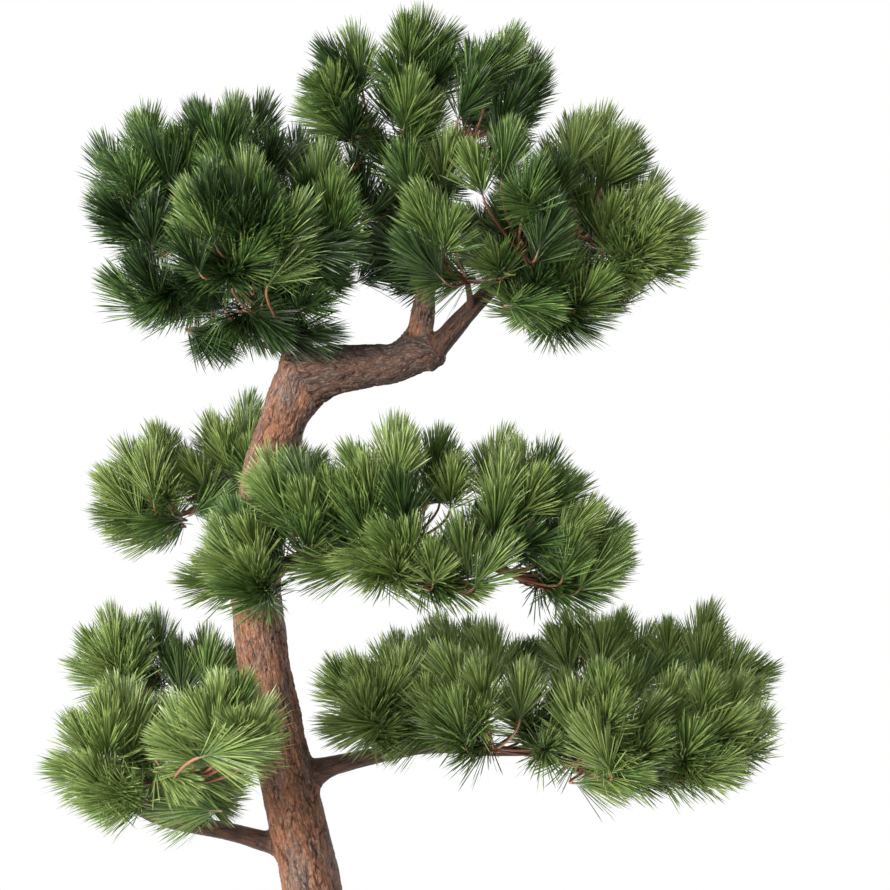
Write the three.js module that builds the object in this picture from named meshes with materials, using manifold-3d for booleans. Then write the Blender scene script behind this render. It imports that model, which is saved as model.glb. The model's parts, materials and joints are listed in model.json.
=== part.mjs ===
// An artificial pine, cloud-pruned in the bonsai style: a leaning bark trunk with a root flare, painted
// boughs, and shelves of needle foliage, each shelf made of several uneven masses.
// Millimetres, +Z up, +X to the right, +Y to the back. The origin is the middle of the flat cut under
// the trunk, at ground level.
import * as THREE from 'three';
import { mergeVertices } from 'three/addons/utils/BufferGeometryUtils.js';
import Module from 'manifold-3d';

const wasm = await Module();
wasm.setup();

// ---------------------------------------------------------------------------------------------------
// Driving dimensions

// Clearance left between two pieces that meet.
const GAP = 0.3;

const BARK = { color: 0x6f5548, roughness: 0.85, metalness: 0 };
const BOUGH = { color: 0x5e4639, roughness: 0.6, metalness: 0 };
const NEEDLES = { color: 0x44572f, roughness: 0.7, metalness: 0 };

// How finely the trunk and the limbs are faceted.
const TRUNK_SIDES = 14;
const TRUNK_STEP = 66;
const LIMB_SIDES = 8;
const LIMB_STEP = 68;

// The size of a cutting block, larger than the whole tree.
const BLOCK = 3000;

// Corners nearer than this are one corner.
const WELD = 0.001;

// The trunk: its middle line from below the ground cut up to the fork, with its thickness.
const TRUNK_LINE = [
  [14, 0, -60], [0, 0, 0], [-66, -8, 440], [-150, -14, 820], [-180, -8, 1070],
  [-160, 0, 1270], [-122, 2, 1390], [-92, 2, 1480],
];
const TRUNK_FOOT_RADIUS = 61;
const TRUNK_WAIST_RADIUS = 45;
const TRUNK_WAIST_HEIGHT = 1300;
const FLARE = 27;
const FLARE_HEIGHT = 95;
const FLARE_LOBES = 5;
const FLARE_LOBE_DEPTH = 0.5;

// The limbs. Each starts inside the limb that carries it and runs along its middle line. The radius
// goes from the first value to the last. The collar is the extra thickness at its root, and the reach
// is how far the collar runs out along the limb.
const LIMBS = {
  stem_left: {
    line: [[-104, 2, 1440], [-93, 8, 1515], [-112, 14, 1580], [-136, 20, 1660], [-168, 22, 1750],
      [-205, 14, 1830]],
    radius: [35, 12],
    collar: 5,
    reach: 60,
  },
  limb_right: {
    line: [[-112, 0, 1446], [-52, -5, 1476], [16, -8, 1485], [104, -14, 1494], [150, -18, 1506],
      [174, -19, 1522]],
    radius: [46, 36],
    collar: 18,
    reach: 75,
    finish: BARK,
  },
  leader_centre: {
    line: [[138, -14, 1500], [150, 0, 1570], [160, 14, 1650], [166, 30, 1760], [172, 36, 1880],
      [160, 30, 1980]],
    radius: [21, 9],
    collar: 14,
    reach: 60,
  },
  leader_right: {
    line: [[140, -18, 1486], [192, -24, 1534], [264, -38, 1616], [334, -50, 1676], [400, -56, 1718]],
    radius: [23, 12],
    collar: 7,
    reach: 60,
  },
  bough_low_right: {
    line: [[-120, 0, 655], [-62, -6, 680], [26, -12, 704], [112, -18, 722], [180, -24, 733],
      [268, -40, 727], [350, -66, 728], [424, -96, 744]],
    radius: [21, 8],
    collar: 16,
    reach: 46,
  },
  bough_low_left: {
    line: [[-92, 0, 516], [-150, -12, 536], [-200, -28, 556], [-262, -58, 576], [-338, -104, 600],
      [-400, -160, 644], [-424, -200, 700]],
    radius: [21, 12],
    collar: 9,
    reach: 44,
  },
  bough_mid_front: {
    line: [[-178, 0, 1050], [-140, -62, 1086], [-70, -112, 1112], [20, -150, 1132], [110, -176, 1160]],
    radius: [19, 11],
    collar: 9,
    reach: 44,
  },
  bough_mid_back: {
    line: [[-176, 0, 1090], [-206, 68, 1130], [-244, 132, 1166], [-276, 190, 1210], [-300, 226, 1252]],
    radius: [18, 10],
    collar: 9,
    reach: 44,
  },
};

// The foliage: the middle of each mass and its half sizes along X, Y and Z, shelf by shelf.
const SHELVES = {
  crown_left: {
    top: [[-235, 40, 1925], [175, 210, 150]],
    outer: [[-385, -10, 1870], [135, 200, 160]],
    inner: [[24, -60, 1806], [166, 190, 153]],
    back: [[-140, 210, 1900], [165, 150, 145]],
    front: [[-170, -210, 1775], [165, 145, 135]],
    low: [[-350, -30, 1675], [150, 170, 115]],
    hanging: [[-90, -110, 1625], [140, 140, 112]],
    spray: [[-250, -60, 1562], [112, 110, 62]],
  },
  crown_top: {
    left: [[-10, 10, 2065], [100, 160, 130]],
    middle: [[135, 20, 2085], [125, 190, 130]],
    right: [[290, 10, 2055], [125, 170, 135]],
    low: [[158, -50, 1890], [142, 165, 125]],
    rear: [[84, 96, 1786], [124, 120, 116]],
  },
  crown_right: {
    inner: [[300, -130, 1840], [155, 180, 140]],
    top: [[502, 40, 1895], [142, 200, 142]],
    tip: [[592, -20, 1758], [126, 170, 112]],
    low: [[416, -60, 1640], [172, 175, 110]],
    front: [[204, -180, 1750], [132, 130, 112]],
    back: [[400, 210, 1815], [185, 155, 138]],
    rear_tuft: [[150, 150, 1690], [92, 80, 52]],
  },
  mid_back: {
    outer: [[-435, 240, 1265], [138, 180, 136]],
    top: [[-265, 250, 1325], [140, 175, 115]],
    inner: [[-118, 230, 1285], [95, 130, 98]],
  },
  mid_front: {
    left: [[-196, -210, 1126], [122, 160, 104]],
    crest: [[-75, -190, 1217], [150, 170, 125]],
    top: [[126, -170, 1268], [168, 215, 140]],
    shoulder: [[335, -160, 1248], [154, 205, 138]],
    tip: [[458, -170, 1152], [114, 180, 114]],
    low: [[152, -330, 1145], [215, 120, 88]],
  },
  low_right: {
    inner: [[60, -100, 866], [148, 200, 98]],
    middle: [[282, -130, 848], [168, 200, 108]],
    front: [[508, -155, 806], [178, 195, 126]],
    tip: [[712, -90, 806], [140, 200, 122]],
    back_inner: [[240, 226, 890], [188, 184, 100]],
    back: [[532, 236, 892], [196, 190, 106]],
    back_tip: [[738, 222, 885], [147, 170, 103]],
  },
  low_left: {
    near: [[-200, -480, 850], [130, 160, 105]],
    outer: [[-412, -240, 788], [138, 210, 132]],
    under: [[-268, -220, 690], [124, 160, 66]],
    back: [[-326, 160, 876], [114, 160, 94]],
    far: [[-470, 140, 918], [120, 165, 108]],
  },
};

// How uneven a mass is: its lumps, how low on it they may sit, how far they stand out, and how much
// flatter it is underneath. A small mass is faceted more coarsely.
const LUMPS = 7;
const LUMP_LOWEST = -0.6;
const LUMP_HEIGHT = 0.18;
const LUMP_SHARPNESS = 7;
const UNDERSIDE = 0.8;
const SMALL_MASS = 115;
const MASS_DETAIL = 3;
const FIRST_SEED = 11;

// ---------------------------------------------------------------------------------------------------
// Helpers

// A repeatable stream of numbers from 0 to 1.
function seeded(seed) {
  let state = seed * 2654435761 % 4294967296;
  return () => {
    state = (state * 1664525 + 1013904223) % 4294967296;
    return state / 4294967296;
  };
}

// Turns a closed geometry into a solid that can be joined and cut.
function solidOf(geometry) {
  const bare = geometry.clone();
  bare.deleteAttribute('normal');
  bare.deleteAttribute('uv');
  const merged = mergeVertices(bare, WELD);
  return new wasm.Manifold(new wasm.Mesh({
    numProp: 3,
    vertProperties: new Float32Array(merged.attributes.position.array),
    triVerts: new Uint32Array(merged.index.array),
  }));
}

function geometryOf(solid) {
  const mesh = solid.getMesh();
  const geometry = new THREE.BufferGeometry();
  geometry.setAttribute('position', new THREE.BufferAttribute(new Float32Array(mesh.vertProperties), 3));
  geometry.setIndex(new THREE.BufferAttribute(new Uint32Array(mesh.triVerts), 1));
  geometry.computeVertexNormals();
  return geometry;
}

// The largest of the bodies that a cut has left, without the slivers beside it.
function mainBody(solid) {
  return solid.decompose().reduce((best, piece) => (piece.volume() > best.volume() ? piece : best));
}

// A block that fills everything on the far side of a plane.
function blockBeyond(point, normal) {
  const box = new THREE.BoxGeometry(BLOCK, BLOCK, BLOCK);
  box.translate(0, 0, BLOCK / 2);
  box.applyQuaternion(new THREE.Quaternion().setFromUnitVectors(new THREE.Vector3(0, 0, 1), normal));
  box.translate(point.x, point.y, point.z);
  return solidOf(box);
}

// ---------------------------------------------------------------------------------------------------
// Trunk and boughs

function smoothLine(points) {
  return new THREE.CatmullRomCurve3(points.map((p) => new THREE.Vector3(...p)), false, 'centripetal');
}

// A closed tube along a smooth line, whose radius depends on the place along it and round it. Both
// ends are moved out by the given stretch.
function tube(line, radiusAt, sides, stepLength, stretch) {
  const curve = smoothLine(line);
  const steps = Math.max(4, Math.round(curve.getLength() / stepLength));
  const frames = curve.computeFrenetFrames(steps, false);
  const positions = [];
  const index = [];
  const middleAt = (i) => {
    const outward = (i === steps) - (i === 0);
    return curve.getPointAt(i / steps).addScaledVector(frames.tangents[i], outward * stretch);
  };
  for (let i = 0; i <= steps; i += 1) {
    const middle = middleAt(i);
    for (let j = 0; j < sides; j += 1) {
      const angle = 2 * Math.PI * j / sides;
      const out = frames.normals[i].clone().multiplyScalar(Math.cos(angle))
        .addScaledVector(frames.binormals[i], Math.sin(angle));
      const rim = middle.clone().addScaledVector(out, radiusAt(i / steps, middle.z, angle));
      positions.push(rim.x, rim.y, rim.z);
    }
  }
  const first = middleAt(0);
  const last = middleAt(steps);
  const firstAt = positions.length / 3;
  positions.push(first.x, first.y, first.z, last.x, last.y, last.z);
  for (let j = 0; j < sides; j += 1) {
    const next = (j + 1) % sides;
    for (let i = 0; i < steps; i += 1) {
      const a = i * sides;
      const b = a + sides;
      index.push(a + j, a + next, b + next, a + j, b + next, b + j);
    }
    index.push(firstAt, next, j);
    index.push(firstAt + 1, steps * sides + j, steps * sides + next);
  }
  const geometry = new THREE.BufferGeometry();
  geometry.setAttribute('position', new THREE.Float32BufferAttribute(positions, 3));
  geometry.setIndex(index);
  return solidOf(geometry);
}

// The trunk tapers to its waist and flares in lobes where the roots begin.
function trunkSolid(extra) {
  const radiusAt = (t, z, angle) => {
    const taper = THREE.MathUtils.lerp(
      TRUNK_FOOT_RADIUS, TRUNK_WAIST_RADIUS, Math.min(Math.max(z, 0) / TRUNK_WAIST_HEIGHT, 1));
    const lobes = 1 + FLARE_LOBE_DEPTH * Math.cos(FLARE_LOBES * angle);
    const flare = FLARE * lobes * Math.exp(-Math.max(z, 0) / FLARE_HEIGHT);
    return taper + flare + extra;
  };
  const whole = tube(TRUNK_LINE, radiusAt, TRUNK_SIDES, TRUNK_STEP, extra);
  const down = new THREE.Vector3(0, 0, -1);
  return whole.subtract(blockBeyond(new THREE.Vector3(0, 0, -extra), down));
}

function limbSolid(limb, extra) {
  const [thick, thin] = limb.radius;
  const length = smoothLine(limb.line).getLength();
  const radiusAt = (t) => {
    const collar = limb.collar * Math.exp(-(((t * length) / limb.reach) ** 2) / 2);
    return THREE.MathUtils.lerp(thick, thin, t) + collar + extra;
  };
  return tube(limb.line, radiusAt, LIMB_SIDES, LIMB_STEP, extra);
}

// ---------------------------------------------------------------------------------------------------
// Foliage

// An uneven ball: lumps stand out of it in seeded directions, and its underside is flatter. It is
// sized at the end so that it just fills its named half sizes.
function massSolid(middle, half, random) {
  const detail = Math.max(...half) < SMALL_MASS ? MASS_DETAIL - 1 : MASS_DETAIL;
  const ball = new THREE.OctahedronGeometry(1, detail);
  ball.deleteAttribute('normal');
  ball.deleteAttribute('uv');
  const geometry = mergeVertices(ball, WELD);
  const lumps = Array.from({ length: LUMPS }, () => new THREE.Vector3()
    .setFromSphericalCoords(
      1, Math.acos(THREE.MathUtils.lerp(LUMP_LOWEST, 1, random())), 2 * Math.PI * random())
    .applyAxisAngle(new THREE.Vector3(1, 0, 0), Math.PI / 2));
  const heights = lumps.map(() => LUMP_HEIGHT * (0.5 + random()));
  const place = geometry.attributes.position;
  const point = new THREE.Vector3();
  for (let i = 0; i < place.count; i += 1) {
    point.fromBufferAttribute(place, i).normalize();
    const swelling = lumps.reduce(
      (sum, lump, k) => sum + heights[k] * Math.exp(LUMP_SHARPNESS * (lump.dot(point) - 1)), 1);
    point.multiplyScalar(swelling);
    if (point.z < 0) point.z *= UNDERSIDE;
    place.setXYZ(i, point.x, point.y, point.z);
  }
  geometry.computeBoundingBox();
  const box = geometry.boundingBox;
  const centre = box.getCenter(new THREE.Vector3());
  const size = box.getSize(new THREE.Vector3());
  geometry.translate(-centre.x, -centre.y, -centre.z);
  geometry.scale(2 * half[0] / size.x, 2 * half[1] / size.y, 2 * half[2] / size.z);
  geometry.translate(...middle);
  return solidOf(geometry);
}

// How far a mass reaches from its middle in a direction.
function reachOf(mass, direction) {
  const [a, b, c] = mass.half;
  return 1 / Math.hypot(direction.x / a, direction.y / b, direction.z / c);
}

// Parts two masses that run into each other along a plane between them.
function part(one, other) {
  const way = other.middle.clone().sub(one.middle);
  const distance = way.length();
  way.normalize();
  const reachOne = reachOf(one, way);
  const reachOther = reachOf(other, way);
  if (one.solid.intersect(other.solid).volume() === 0) return;
  const share = distance * reachOne / (reachOne + reachOther);
  const back = way.clone().negate();
  one.solid = one.solid.subtract(
    blockBeyond(one.middle.clone().addScaledVector(way, share - GAP / 2), way));
  other.solid = other.solid.subtract(
    blockBeyond(one.middle.clone().addScaledVector(way, share + GAP / 2), back));
}

// ---------------------------------------------------------------------------------------------------
// Assembly

const tree = new THREE.Group();

function add(name, solid, finish) {
  const mesh = new THREE.Mesh(geometryOf(solid), new THREE.MeshStandardMaterial(finish));
  mesh.name = name;
  tree.add(mesh);
}

// The trunk stays whole, and each limb is cut back to the face of the limbs made before it.
const limbs = { trunk: { body: trunkSolid(0), room: trunkSolid(GAP) } };
for (const [name, limb] of Object.entries(LIMBS)) {
  let body = limbSolid(limb, 0);
  for (const earlier of Object.values(limbs)) body = body.subtract(earlier.room);
  limbs[name] = { body: mainBody(body), room: limbSolid(limb, GAP) };
}

const masses = [];
for (const [shelf, members] of Object.entries(SHELVES)) {
  for (const [place, [middle, half]] of Object.entries(members)) {
    const random = seeded(masses.length + FIRST_SEED);
    masses.push({
      name: `${shelf}_${place}`,
      middle: new THREE.Vector3(...middle),
      half,
      solid: massSolid(middle, half, random),
    });
  }
}
masses.forEach((one, i) => masses.slice(i + 1).forEach((other) => part(one, other)));

add('trunk', limbs.trunk.body, BARK);
for (const [name, limb] of Object.entries(LIMBS)) add(name, limbs[name].body, limb.finish ?? BOUGH);
for (const mass of masses) {
  for (const { room } of Object.values(limbs)) mass.solid = mass.solid.subtract(room);
  add(mass.name, mainBody(mass.solid), NEEDLES);
}

export default tree;
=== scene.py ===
"""Builds the looks of an artificial, cloud-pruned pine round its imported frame.

The trunk and boughs become one bark mesh with real relief. Each shelf of foliage becomes side boughs,
coated wires and tufts of needles, which grow on from the boughs by a seeded rule and fill the masses.
Lengths are in metres.
"""

import json
import math
from collections import namedtuple

import bmesh
import bpy
import numpy as np
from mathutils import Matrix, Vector
from mathutils.bvhtree import BVHTree

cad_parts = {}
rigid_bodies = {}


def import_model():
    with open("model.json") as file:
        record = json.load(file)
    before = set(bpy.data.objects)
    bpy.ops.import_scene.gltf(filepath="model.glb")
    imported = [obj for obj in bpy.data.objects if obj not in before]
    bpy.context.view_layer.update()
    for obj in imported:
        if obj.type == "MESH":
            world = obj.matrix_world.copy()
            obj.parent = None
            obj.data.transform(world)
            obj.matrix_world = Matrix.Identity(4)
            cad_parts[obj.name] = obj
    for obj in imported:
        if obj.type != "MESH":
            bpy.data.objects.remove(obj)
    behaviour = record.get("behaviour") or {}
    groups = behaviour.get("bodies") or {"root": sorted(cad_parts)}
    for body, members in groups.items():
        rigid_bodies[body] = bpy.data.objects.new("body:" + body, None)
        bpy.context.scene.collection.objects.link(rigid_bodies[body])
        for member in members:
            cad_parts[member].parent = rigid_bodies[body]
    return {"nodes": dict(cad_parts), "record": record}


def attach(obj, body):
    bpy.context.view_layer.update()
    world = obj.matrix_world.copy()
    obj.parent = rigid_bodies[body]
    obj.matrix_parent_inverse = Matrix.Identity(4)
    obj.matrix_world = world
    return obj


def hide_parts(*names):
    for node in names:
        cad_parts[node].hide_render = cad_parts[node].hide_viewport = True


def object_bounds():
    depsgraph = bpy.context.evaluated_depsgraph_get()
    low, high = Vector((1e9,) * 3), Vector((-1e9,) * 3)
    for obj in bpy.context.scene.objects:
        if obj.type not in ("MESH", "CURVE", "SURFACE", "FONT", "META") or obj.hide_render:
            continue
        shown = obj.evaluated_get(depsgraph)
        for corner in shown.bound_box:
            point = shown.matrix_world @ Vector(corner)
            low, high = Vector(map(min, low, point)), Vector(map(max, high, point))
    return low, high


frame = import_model()
CAD_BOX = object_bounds()

bl_info = {
    "name": "Cloud-pruned pine",
    "version": (1, 0, 0),
    "blender": (4, 5, 0),
    "location": "3D View > Sidebar > Pine",
    "description": "Builds the bark, wires and needles of an artificial pine round its packed frame",
    "category": "Add Mesh",
}

BODY = "root"

Look = namedtuple("Look", "parent smooth weathered")
Shelf = namedtuple("Shelf", "limb tint")

# Each limb, a parent before what grows from it: its parent, how much of its surface is smooth painted bough
# and not moulded bark, and how much darker and greyer than the trunk's its bark is, partly its own duller
# bark and partly painted shade of the foliage above.
LIMBS = {
    "trunk": Look(None, 0.0, 0.08),
    "stem_left": Look("trunk", 0.3, 0.6),
    "limb_right": Look("trunk", 0.0, 0.85),
    "leader_centre": Look("limb_right", 0.1, 0.0),
    "leader_right": Look("limb_right", 1.0, 0.0),
    "bough_low_right": Look("trunk", 1.0, 0.0),
    "bough_low_left": Look("trunk", 1.0, 0.0),
    "bough_mid_front": Look("trunk", 1.0, 0.0),
    "bough_mid_back": Look("trunk", 1.0, 0.0),
}

# Each shelf of foliage: the limb that carries it, and how much lighter or darker than the common tuft its
# tufts are, in steps of the needle tints. These steps are painted light and shade for how much light each
# shelf gets. One mass hangs on another limb than its shelf.
SHELVES = {
    "crown_left": Shelf("stem_left", -0.6),
    "crown_top": Shelf("leader_centre", -0.2),
    "crown_right": Shelf("leader_right", 0.75),
    "mid_back": Shelf("bough_mid_back", 1.5),
    "mid_front": Shelf("bough_mid_front", 1.0),
    "low_right": Shelf("bough_low_right", 2.0),
    "low_left": Shelf("bough_low_left", 2.1),
}
MASS_LIMB = {"crown_right_rear_tuft": "leader_centre"}

# More painted light and shade for single masses: lighter at the sunny ends, and painted shade on those behind
# and below.
MASS_PAINTED_LIGHT = {
    "low_left_far": -1.8,
    "low_left_back": -1.5,
    "low_left_under": -0.8,
    "crown_top_rear": -0.6,
    "crown_right_rear_tuft": -1.0,
    "crown_right_low": -0.3,
    "crown_right_tip": 0.8,
    "crown_right_top": 0.6,
    "crown_right_inner": -0.4,
}

# Masses that are more open than the rest, with how much further apart their tufts are.
OPEN_MASSES = {
    "crown_left_low": 1.3,
    "crown_left_spray": 1.15,
    "crown_left_hanging": 1.15,
    "crown_right_low": 1.1,
    "low_left_under": 1.3,
}

# Reading a limb: the share of its length that is cut, in how many cuts, how often the cuts are set
# square to the line again, and the step of the finished line. A curve has so many steps between points.
CUT_SPAN = (0.04, 0.97)
TRUNK_CUTS = 9
LIMB_CUTS = 6
CUT_ROUNDS = 2
LINE_STEP = 0.012
CURVE_STEPS = 12

# The tubes of the wood: how far a ray looks for the surface, the widest section against the mean, how
# much fuller than the CAD they are, and how far they start back inside the trunk or a parent limb.
RING_SIDES = 40
RAY_REACH = 0.4
WIDEST_SECTION = 1.6
SKIN = 1.02
TUBE_ROUNDS = 3
TIP_ROUNDING = (0.5, 0.85)
TRUNK_BACK = 0.06
ROOT_OVERLAP = 0.8

# The bridge at a fork, in radii of the limb: how far down the parent it starts, how far out it ends,
# its girth at both ends, how strongly it follows them, and its steps.
BRIDGE_DROP = 2.3
BRIDGE_REACH = 2.4
BRIDGE_GIRTH = 0.86
BRIDGE_END = 0.96
BRIDGE_PULL = 1.1
BRIDGE_STEPS = 14

# Smoothing of the joined wood. The fillet is as wide as its setting at a limb of this radius.
VOXEL_ROUNDS = 3
FILLET_PASSES = 8
FILLET_ROUNDS = 20
FILLET_FOR_RADIUS = 0.04
SMOOTHNESS_ROUNDS = 25
SHADE_AND_WEATHER_ROUNDS = 60
BATCH = 20000

# The grain of two limbs lies this far apart, so that they don't share a pattern.
GRAIN_APART = 0.7

# How much painted shade the wood gets on its upward faces, where the foliage above shades it, and on its
# right side, away from the key light.
PAINTED_SHADE_TOP = 0.5
PAINTED_SHADE_SIDE = 0.35

# The bark's patterns, in features for each metre: across the grain both ways, then along it.
CRACK_BREAKS = (70.0, 70.0, 20.0)
SWELLS = (22.0, 22.0, 10.0)
RUST_PATCHES = (20.0, 20.0, 6.0)
GRIT = (380.0, 380.0, 150.0)
PAINT_STREAKS = (150.0, 150.0, 22.0)

# How far plates wander and how wide a crack is, in plate widths, and how much of the relief a painted
# bough lacks.
PLATE_WANDER = 0.9
CRACK_WIDTH = 0.12
BOUGH_CALM = 0.85
PLASTIC_IOR = 1.49

# Where tufts are tried: points on a mass and in its core, how deep the core lies, and how much more
# room a core or underside tuft takes. Surfaces that face down more than this are undersides.
SAMPLES = 420
CORE_SAMPLES = 150
CORE_DEPTH = 0.05
CORE_ROOM = 1.2
UNDERSIDE = -0.4
UNDERSIDE_ROOM = 1.2
TRUNK_CLEARANCE = 0.085

# Masses whose middles are further off than this are left out of a test, and how near counts as in one.
FAR_MASS = 0.35
NEAR_MASS = 0.3
TOUCHING = 0.003
BASE_MARGIN = 0.008

# How a tuft leans: with its surface, its shelf and its mass, sideways, upward, at random, and how low
# it may point. On an underside its foot is inset and its axis lifted.
LEAN_SURFACE = 0.30
LEAN_SHELF = 0.50
LEAN_MASS = 0.20
TURN_SIDEWAYS = np.array([1.0, 0.5, 1.0])
UPWARD = 0.40
WOBBLE = 0.18
HANGING = -0.35
LEVEL = 0.0
DOME_DROP = 0.45
FOOT_INSET = 0.012
UNDERSIDE_LIFT = 0.1
UNDERSIDE_REACH = 0.8
SIDE_ROOM = 0.05
TUFT_SIZES = (0.9, 1.12)

# Needle tints run from 0, the darkest. The wires' finishes are three coats, then wood and stem.
TINTS = 5
COMMON_TINT = 1.9
TINT_SPREAD = 0.85
COAT_TINTS = 3
WOOD_TINT = 3
STEM_TINT = 4

# Side boughs and wires: where the hub lies, how a side bough leaves and arrives, how many tufts make a
# bundle, and how the wires start, sag, taper and arrive.
HUB_BACK = 0.4
HUB_DROP = 0.6
BOUGH_LEAVING = 0.9
BOUGH_ARRIVAL = 0.6
BOUGH_RISE = 0.25
BOUGH_STEPS = 12
BUNDLE_TUFTS = 4
HUB_OVERLAP = 0.02
WIRE_SAG = 0.03
WIRE_TAPER = (1.15, 0.85)
ARRIVAL = 0.05
WIRE_INPUTS = {"Thickness": 1.0, "Sides": 6}

# A needle: the rows of its mesh along it, its bends, how fast needles close towards a tuft's tip, and which
# shares of its length are dark and pale, on how many needles. The dark foot is painted shade in the tuft's
# core; the pale tip is partly the needles' own yellowish tips and partly painted highlight.
NEEDLE_ROWS = (0.15, 0.76)
NEEDLE_BENDS = (0.02, 0.06, 0.11)
NEEDLE_CLOSING = 0.8
GOLDEN_TURN = math.pi * (3 - math.sqrt(5))
SHADED_FOOT = 0.35
PALE_TIP = 0.75
PALE_TIP_SHARE = 0.6
SEED_STEP = 10

# The floor, and each light's place, target and size.
FLOOR_SIDES = 96
FLOOR_RADIUS = 1.5
FLOOR_DROP = 0.001
LIGHTS = {
    "key": ((-2.7, -3.1, 1.4), (0.1, 0.0, 0.9), 2.2),
    "top": ((0.2, -0.6, 4.6), (0.1, 0.0, 1.2), 2.4),
    "fill": ((2.6, 2.8, 2.4), (0.1, 0.0, 1.2), 2.6),
}

Limb = namedtuple("Limb", "name points tangents normals binormals arcs tree radius")
Mass = namedtuple("Mass", "name shelf triangles tree centre")
Tuft = namedtuple("Tuft", "base axis tint size")
Wire = namedtuple("Wire", "points radii tint")


# ------------------------------------------------------------
# Settings


def linear(code):
    """Turns an sRGB hex colour into linear red, green and blue."""
    channels = [int(code[i : i + 2], 16) / 255 for i in (0, 2, 4)]
    return tuple(c / 12.92 if c <= 0.04045 else ((c + 0.055) / 1.055) ** 2.4 for c in channels)


def length(name, description, default):
    """A size in metres that a user can change."""
    return bpy.props.FloatProperty(
        name=name, description=description, default=default, min=0.0, unit="LENGTH", precision=4
    )


def colour(name, description, code):
    """A colour that a user can change."""
    return bpy.props.FloatVectorProperty(
        name=name, description=description, default=linear(code), min=0.0, max=1.0, subtype="COLOR"
    )


class PINE_PG_bark(bpy.types.PropertyGroup):
    """Sizes and colours of the moulded bark"""

    voxel: length("Voxel", "Mesh size of the finished bark", 0.0036)
    plate_width: length("Plate width", "Width of a bark plate round the trunk", 0.012)
    plate_length: length("Plate length", "Length of a bark plate along the trunk", 0.036)
    crack_depth: length("Crack depth", "Depth of the cracks between plates", 0.0040)
    flake_depth: length("Flake depth", "Height of the flakes on a plate", 0.0022)
    swell: length("Swell", "Height of the slow unevenness of the trunk", 0.0040)
    fillet: length("Fillet", "How far round a fork the wood is rounded off", 0.060)
    grey: colour("Grey bark", "Weathered face of the plates", "7a6256")
    rust: colour("Rust bark", "Fresh orange-brown bark", "8f5836")
    dark: colour("Dark bark", "Bottom of the cracks", "33241e")
    pale: colour("Pale bark", "Rubbed edges of the plates", "b09a8a")
    # The shaded bark is mixed in by the weathering and shade attribute: partly the upper limbs' duller bark,
    # partly painted shade.
    shade: colour("Shaded bark", "Dull purplish brown of the upper limbs", "352a26")
    bough: colour("Painted bough", "Smooth brown paint of the boughs", "5a3622")
    bough_dark: colour("Dark bough", "Darker streaks of the boughs", "291910")


class PINE_PG_wires(bpy.types.PropertyGroup):
    """Sizes and colours of the side boughs, coated wires and tuft stems"""

    wire_radius: length("Wire radius", "Radius of a coated wire", 0.0028)
    stem_radius: length("Stem radius", "Radius of the stem inside a tuft", 0.0019)
    bundle: length("Bundle", "How far the wires of a bundle lie from its middle", 0.0042)
    side_bough: length("Side bough", "Radius at the root of a side bough", 0.0095)
    coat_light: colour("Light coating", "Light pinkish brown wire coating", "b58067")
    coat_mid: colour("Mid coating", "Pinkish brown wire coating", "97624c")
    coat_dark: colour("Dark coating", "Dark red-brown wire coating", "6e4333")
    wood: colour("Side bough", "Paint of the side boughs", "55392c")
    stem: colour("Tuft stem", "Grey-green stem inside a tuft", "6b6a4a")


class PINE_PG_needles(bpy.types.PropertyGroup):
    """Sizes and colours of the tufts of needles"""

    spacing: length("Tuft spacing", "Smallest distance between the tips of two tufts", 0.073)
    reach: length("Tuft reach", "Length of a tuft from its foot to its needle tips", 0.140)
    stem: length("Stem", "Length of stem that carries needles", 0.048)
    needle: length("Needle", "Length of a needle", 0.098)
    width: length("Width", "Width of a needle", 0.0021)
    droop: length("Droop", "How far a level needle's tip sags", 0.006)
    count: bpy.props.IntProperty(
        name="Needles", description="Needles in one tuft", default=210, min=3, max=400
    )
    foot_angle: bpy.props.FloatProperty(
        name="Foot angle", description="Angle of the lowest needles to the stem",
        default=math.radians(46), subtype="ANGLE",
    )
    tip_angle: bpy.props.FloatProperty(
        name="Tip angle", description="Angle of the highest needles to the stem",
        default=math.radians(6), subtype="ANGLE",
    )
    seed: bpy.props.IntProperty(name="Seed", description="Seed of the growth", default=7, min=0)
    # The five greens run from dark to light. Tufts are dealt a lighter one where their shelf and mass are lit
    # and where they face up, and a darker one in the shade: painted light and shade, with some spread at
    # random.
    deep: colour("Deep green", "Tufts in the shade of a shelf", "243817")
    forest: colour("Forest green", "Dark tufts", "334b22")
    leaf: colour("Leaf green", "The common tuft", "48642c")
    fresh: colour("Fresh green", "Light tufts on top", "627b3c")
    olive: colour("Olive green", "Yellowish tufts", "788a48")
    # The pale tip: partly the needles' own yellowish tips, partly painted highlight.
    tip: colour("Pale tip", "Yellowish tips of the lightest needles", "8a9a5c")


class PINE_PG_stage(bpy.types.PropertyGroup):
    """The camera, the lights and the floor"""

    distance: length("Distance", "Camera distance in front of the trunk", 3.6)
    height: length("Height", "Camera height", 1.33)
    aside: length("Aside", "Camera place along X", 0.198)
    lens: bpy.props.FloatProperty(name="Lens", description="Focal length", default=72.8, min=1.0)
    floor: colour("Floor", "Plain pale floor", "e9e7e4")
    sky: bpy.props.FloatProperty(
        name="Sky", description="Light that the white backdrop throws on the tree", default=0.66
    )
    key: bpy.props.FloatProperty(name="Key", description="Power of the main light", default=340.0)
    top: bpy.props.FloatProperty(name="Top", description="Power of the light above", default=60.0)
    fill: bpy.props.FloatProperty(name="Fill", description="Power of the light behind", default=120.0)


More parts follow.
